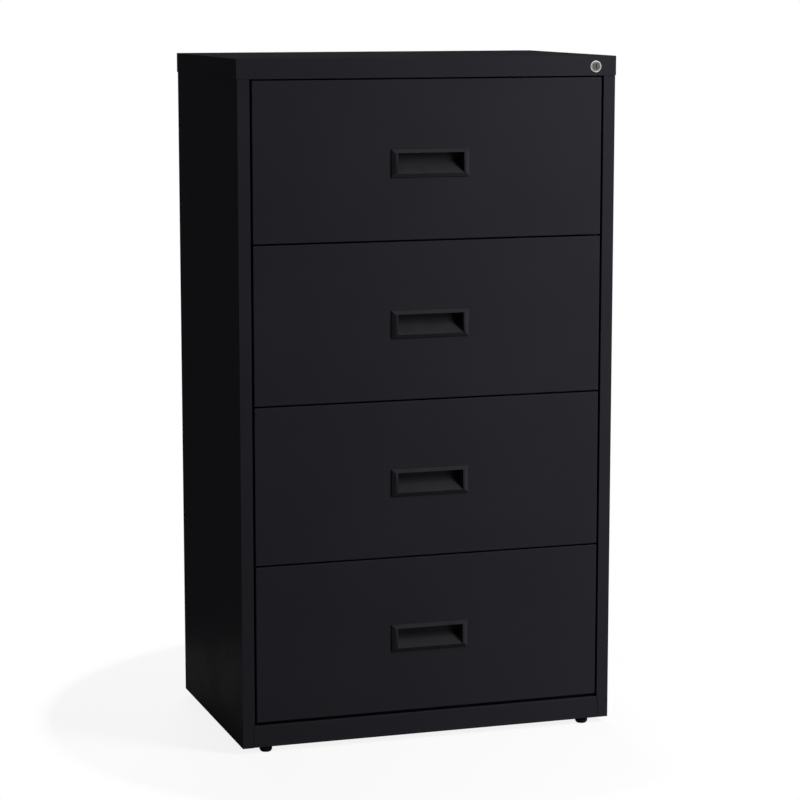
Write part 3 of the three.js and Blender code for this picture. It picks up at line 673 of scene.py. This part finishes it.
ray = tree.nodes.new("ShaderNodeLightPath")
matt = tree.nodes.new("ShaderNodeBsdfDiffuse")
pale = add_math(tree, "MULTIPLY", ray.outputs["Is Camera Ray"], FLOOR_SEEN)
tree.links.new(add_math(tree, "MAXIMUM", pale, FLOOR_BOUNCE), matt.inputs["Color"])
white = tree.nodes.new("ShaderNodeEmission")
coords = tree.nodes.new("ShaderNodeTexCoord")
distance = tree.nodes.new("ShaderNodeVectorMath")
distance.operation = "LENGTH"
tree.links.new(coords.outputs["Object"], distance.inputs[0])
fade = tree.nodes.new("ShaderNodeMapRange")
fade.interpolation_type = "SMOOTHSTEP"
fade.inputs["From Min"].default_value = FADE_START
fade.inputs["From Max"].default_value = FLOOR_RADIUS
tree.links.new(distance.outputs["Value"], fade.inputs["Value"])
mirrored = add_math(tree, "MAXIMUM", ray.outputs["Is Glossy Ray"], ray.outputs["Is Transmission Ray"])
mirrored = add_math(tree, "MULTIPLY", mirrored, FLOOR_MIRRORED)
mirrored = add_math(tree, "MULTIPLY", mirrored, fade.outputs["Result"])
seen = add_math(tree, "MAXIMUM", fade.outputs["Result"], NEAR_WHITE)
seen = add_math(tree, "MULTIPLY", ray.outputs["Is Camera Ray"], seen)
mix = tree.nodes.new("ShaderNodeMixShader")
tree.links.new(add_math(tree, "MAXIMUM", seen, mirrored), mix.inputs["Fac"])
tree.links.new(matt.outputs["BSDF"], mix.inputs[1])
tree.links.new(white.outputs["Emission"], mix.inputs[2])
tree.links.new(mix.outputs["Shader"], tree.nodes["Material Output"].inputs["Surface"])
floor_mesh.materials.append(floor_finish)

# Background: white where the camera looks past the floor, and a dim room for everything else. Bright metal
# mirrors white walls at both sides and above, a grey one in front of the case and a dark one behind it. The
# walls are given from front to back, as places from 0 to 1 and their levels.
ROOM_LIGHT = 0.03
ROOM_WALLS = ((0.2, 0.12), (0.3, 1.0), (0.56, 1.0), (0.68, 0.0))
world = bpy.data.worlds.new("studio")
bpy.context.scene.world = world
world.use_nodes = True
tree = world.node_tree
room = tree.nodes["Background"]
room.inputs["Color"].default_value = (1, 1, 1, 1)
room.inputs["Strength"].default_value = ROOM_LIGHT
backdrop = tree.nodes.new("ShaderNodeBackground")
backdrop.inputs["Color"].default_value = (1, 1, 1, 1)
coords = tree.nodes.new("ShaderNodeTexCoord")
axes = tree.nodes.new("ShaderNodeSeparateXYZ")
tree.links.new(coords.outputs["Generated"], axes.inputs["Vector"])
along = add_math(tree, "MULTIPLY", add_math(tree, "ADD", axes.outputs["Y"], 1), 0.5)
walls = tree.nodes.new("ShaderNodeValToRGB")
stops = walls.color_ramp.elements
for place, _ in ROOM_WALLS[1:-1]:
    stops.new(place)
for stop, (place, level) in zip(stops, ROOM_WALLS):
    stop.position = place
    stop.color = (level, level, level, 1)
tree.links.new(along, walls.inputs["Fac"])
ray = tree.nodes.new("ShaderNodeLightPath")
mirrored = add_math(tree, "MAXIMUM", ray.outputs["Is Glossy Ray"], ray.outputs["Is Transmission Ray"])
mirrored = add_math(tree, "MULTIPLY", mirrored, walls.outputs["Color"])
mix = tree.nodes.new("ShaderNodeMixShader")
tree.links.new(add_math(tree, "MAXIMUM", ray.outputs["Is Camera Ray"], mirrored), mix.inputs["Fac"])
tree.links.new(room.outputs["Background"], mix.inputs[1])
tree.links.new(backdrop.outputs["Background"], mix.inputs[2])
tree.links.new(mix.outputs["Shader"], tree.nodes["World Output"].inputs["Surface"])

# Lamps: a tall softbox in front, above and to the right, a weak one below it that opens up the pulls, and a
# wide one behind for the back and the top, as in a catalogue studio. None of them is mirrored in the coat.
KEY_PLACE = (1.55, -1.8, 2.15)
KEY_TARGET = (0.15, -0.2, 0.35)
KEY_SIZE = (0.8, 1.6)
KEY_POWER = 94
LOW_PLACE = (1.5, -1.7, 0.35)
LOW_TARGET = (0.2, -0.1, 0.6)
LOW_SIZE = (0.8, 0.6)
LOW_POWER = 14
BACK_PLACE = (0.2, 2.9, 2.2)
BACK_TARGET = (0, 0.2, 0.7)
BACK_SIZE = (1.6, 1.6)
BACK_POWER = 90


def aim(thing, place, target):
    thing.location = place
    thing.rotation_euler = (Vector(target) - Vector(place)).to_track_quat("-Z", "Y").to_euler()


def add_softbox(name, size, power, place, target):
    lamp = bpy.data.lights.new(name, "AREA")
    lamp.shape = "RECTANGLE"
    lamp.size, lamp.size_y = size
    lamp.energy = power
    softbox = bpy.data.objects.new(name, lamp)
    softbox.visible_camera = False
    softbox.visible_glossy = False
    bpy.context.scene.collection.objects.link(softbox)
    aim(softbox, place, target)


add_softbox("key_softbox", KEY_SIZE, KEY_POWER, KEY_PLACE, KEY_TARGET)
add_softbox("low_softbox", LOW_SIZE, LOW_POWER, LOW_PLACE, LOW_TARGET)
add_softbox("back_softbox", BACK_SIZE, BACK_POWER, BACK_PLACE, BACK_TARGET)

# Camera: where the photograph was taken from, a little above the top and to the left, and as near as the
# slant of its seams asks.
CAMERA_PLACE = (-1.6223, -5.0205, 1.4639)
CAMERA_LOOK = (0.30639, 0.93935, -0.15409)
CAMERA_LENS = 119.0
CAMERA_SENSOR = 36.0
camera_data = bpy.data.cameras.new("camera")
camera_data.lens = CAMERA_LENS
camera_data.sensor_width = CAMERA_SENSOR
camera = bpy.data.objects.new("camera", camera_data)
bpy.context.scene.collection.objects.link(camera)
aim(camera, CAMERA_PLACE, Vector(CAMERA_PLACE) + Vector(CAMERA_LOOK))
bpy.context.scene.camera = camera
bpy.context.scene.view_settings.view_transform = "Standard"
